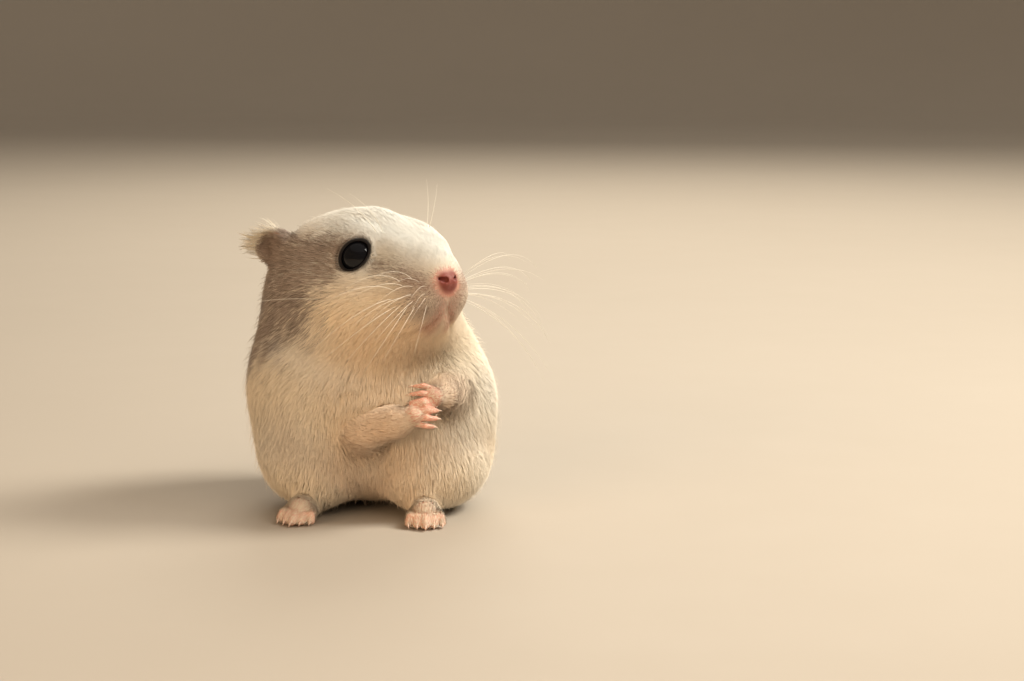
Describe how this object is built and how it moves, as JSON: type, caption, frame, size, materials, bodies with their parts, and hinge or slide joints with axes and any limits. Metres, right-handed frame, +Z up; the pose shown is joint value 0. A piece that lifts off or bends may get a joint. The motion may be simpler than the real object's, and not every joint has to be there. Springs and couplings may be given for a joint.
{
  "type": "dwarf hamster",
  "caption": "Life-size still model of a pale dwarf hamster sitting up, paws held at its chest and head turned to its left.",
  "frame": {"origin": "on the floor, in the middle of the model's footprint box", "axes": "+Z up; the hamster sits facing -Y, so its left side is +X; its head is turned 45 degrees to its left"},
  "size_m": [0.0368, 0.042, 0.0438],
  "materials": {
    "cream_coat": "soft cream-white fur, matt",
    "grey_brown_coat": "short grey-brown fur, matt",
    "pink_skin": "bare pink skin with a thin white down",
    "nose_skin": "moist pink skin",
    "black_eye": "wet gloss, nearly black"
  },
  "bodies": {
    "root": {"head": "cream_coat", "trunk": "cream_coat", "foreleg_left": "cream_coat", "foreleg_right": "cream_coat", "hind_leg_left": "cream_coat", "hind_leg_right": "cream_coat", "tail": "cream_coat", "ear_left": "grey_brown_coat", "ear_right": "grey_brown_coat", "forepaw_left": "pink_skin", "forepaw_right": "pink_skin", "hind_foot_left": "pink_skin", "hind_foot_right": "pink_skin", "nose": "nose_skin", "eye_left": "black_eye", "eye_right": "black_eye"}
  },
  "joints": []
}
